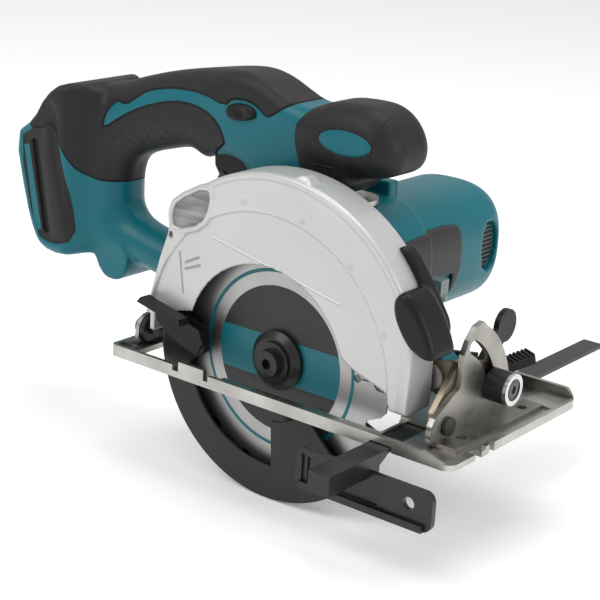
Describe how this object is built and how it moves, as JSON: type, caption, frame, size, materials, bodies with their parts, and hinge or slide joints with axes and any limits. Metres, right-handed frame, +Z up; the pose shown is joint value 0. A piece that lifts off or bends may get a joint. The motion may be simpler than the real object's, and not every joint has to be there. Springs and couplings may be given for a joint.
{
  "type": "circular_saw",
  "caption": "Cordless circular saw with blade case, spring-closed lower guard, tilting base plate, rip fence, rear grip handle and front knob; no battery fitted",
  "frame": {"origin": "sole plane of the base, straight below the blade's arbor in the side view, on the saw's middle plane between the handle shells", "axes": "+X forward (cutting direction), +Y to the motor side, +Z up"},
  "size_m": [0.325, 0.255, 0.2054],
  "materials": {
    "teal_plastic": "glossy",
    "black_rubber": "matte",
    "black_plastic": "satin",
    "grey_plastic": "satin",
    "steel": "brushed",
    "dark_steel": "satin",
    "zinc_brown": "satin",
    "cast_alloy": "satin",
    "black_metal": "satin",
    "guard_grey": "satin",
    "blade_steel": "brushed",
    "brass": "satin",
    "lens": "clear"
  },
  "bodies": {
    "base": {"base_plate": "steel", "bevel_quadrant": "dark_steel", "rear_ear": "steel", "bevel_pins": "steel", "fence_boss": "dark_steel"},
    "fence": {"fence_arm": "black_metal", "fence_plate": "black_metal", "fence_screws": "dark_steel"},
    "fence_clamp": {"fence_lever": "black_plastic"},
    "tilt_frame": {"front_hinge": "zinc_brown", "depth_pin": "steel", "depth_guide": "black_metal", "bevel_bolt": "steel", "bevel_sleeve": "black_metal"},
    "bevel_clamp": {"bevel_lever": "black_plastic"},
    "saw": {"shell_right": "teal_plastic", "shell_left": "teal_plastic", "grip_rubber": "black_rubber", "front_knob": "black_rubber", "knob_inlay": "teal_plastic", "knob_collar": "steel", "battery_rails": "black_plastic", "battery_terminals": "brass", "switch_body": "black_plastic", "controller": "black_plastic", "gear_housing": "teal_plastic", "blade_case": "cast_alloy", "case_screws": "dark_steel", "front_shield": "black_plastic", "motor_housing": "teal_plastic", "motor_cap": "teal_plastic", "side_panel": "grey_plastic", "lamp_lens": "lens", "stator_can": "dark_steel", "magnets": "dark_steel", "brush_holders": "brass", "brushes": "dark_steel", "bearings": "steel", "depth_bolt": "steel", "guard_stop": "black_rubber", "guard_spring": "steel"},
    "depth_clamp": {"depth_lever": "black_plastic"},
    "armature": {"armature_shaft": "steel", "rotor_core": "dark_steel", "commutator": "brass", "fan": "grey_plastic"},
    "idler": {"idler_shaft": "steel", "idler_wheel": "steel"},
    "spindle": {"spindle": "steel", "spindle_gear": "steel", "inner_flange": "dark_steel", "blade": "blade_steel", "blade_tips": "dark_steel", "outer_flange": "black_metal", "blade_bolt": "black_metal"},
    "guard": {"lower_guard": "guard_grey", "guard_lever": "black_plastic"},
    "trigger": {"trigger": "black_plastic"},
    "lock_off": {"lock_off": "black_plastic"},
    "shaft_lock": {"shaft_lock": "black_plastic"}
  },
  "joints": [
    {"name": "fence_slide", "type": "slide", "parent": "base", "child": "fence", "axis": [0, 1, 0], "range_m": [-0.04, 0.007]},
    {"name": "fence_clamp_turn", "type": "hinge", "parent": "base", "child": "fence_clamp", "pos_m": [0.0806, 0.037, 0.014], "axis": [0, 0, 1], "range_deg": [-40, 40]},
    {"name": "bevel_tilt", "type": "hinge", "parent": "base", "child": "tilt_frame", "pos_m": [0, -0.035, 0.011], "axis": [1, 0, 0], "range_deg": [0, 45]},
    {"name": "bevel_clamp_turn", "type": "hinge", "parent": "tilt_frame", "child": "bevel_clamp", "pos_m": [0.09, 0.00249, 0.02246], "axis": [1, 0, 0], "range_deg": [-15, 15]},
    {"name": "depth_swing", "type": "hinge", "parent": "tilt_frame", "child": "saw", "pos_m": [0.084, -0.012, 0.028], "axis": [0, 1, 0], "range_deg": [0, 28]},
    {"name": "depth_clamp_turn", "type": "hinge", "parent": "saw", "child": "depth_clamp", "pos_m": [-0.06563, 0.02, 0.01754], "axis": [0, 1, 0], "range_deg": [-25, 10]},
    {"name": "blade_spin", "type": "hinge", "parent": "saw", "child": "spindle", "pos_m": [0, -0.035, 0.017], "axis": [0, 1, 0], "continuous": true},
    {"name": "idler_spin", "type": "hinge", "parent": "saw", "child": "idler", "pos_m": [0.00412, 0, 0.03861], "axis": [0, 1, 0], "continuous": true},
    {"name": "armature_spin", "type": "hinge", "parent": "saw", "child": "armature", "pos_m": [0.00824, 0.05, 0.05981], "axis": [0, 1, 0], "continuous": true},
    {"name": "guard_turn", "type": "hinge", "parent": "saw", "child": "guard", "pos_m": [0, -0.029, 0.017], "axis": [0, 1, 0], "range_deg": [0, 110], "stiffness_Nm_per_rad": 0.12, "springref_deg": -68.75},
    {"name": "trigger_pull", "type": "hinge", "parent": "saw", "child": "trigger", "pos_m": [-0.052, 0, 0.112], "axis": [0, 1, 0], "range_deg": [0, 9], "stiffness_Nm_per_rad": 1.5, "springref_deg": -8.59},
    {"name": "lock_off_push", "type": "slide", "parent": "saw", "child": "lock_off", "axis": [0, 1, 0], "range_m": [0, 0.003], "stiffness_N_per_m": 600, "springref_m": -0.001},
    {"name": "shaft_lock_push", "type": "slide", "parent": "saw", "child": "shaft_lock", "axis": [-1, 0, 0], "range_m": [0, 0.0022], "stiffness_N_per_m": 600, "springref_m": -0.001}
  ],
  "couplings": [
    {"joint": "idler_spin", "follows": "blade_spin", "ratio": -1.5882},
    {"joint": "armature_spin", "follows": "blade_spin", "ratio": 5.5588}
  ]
}
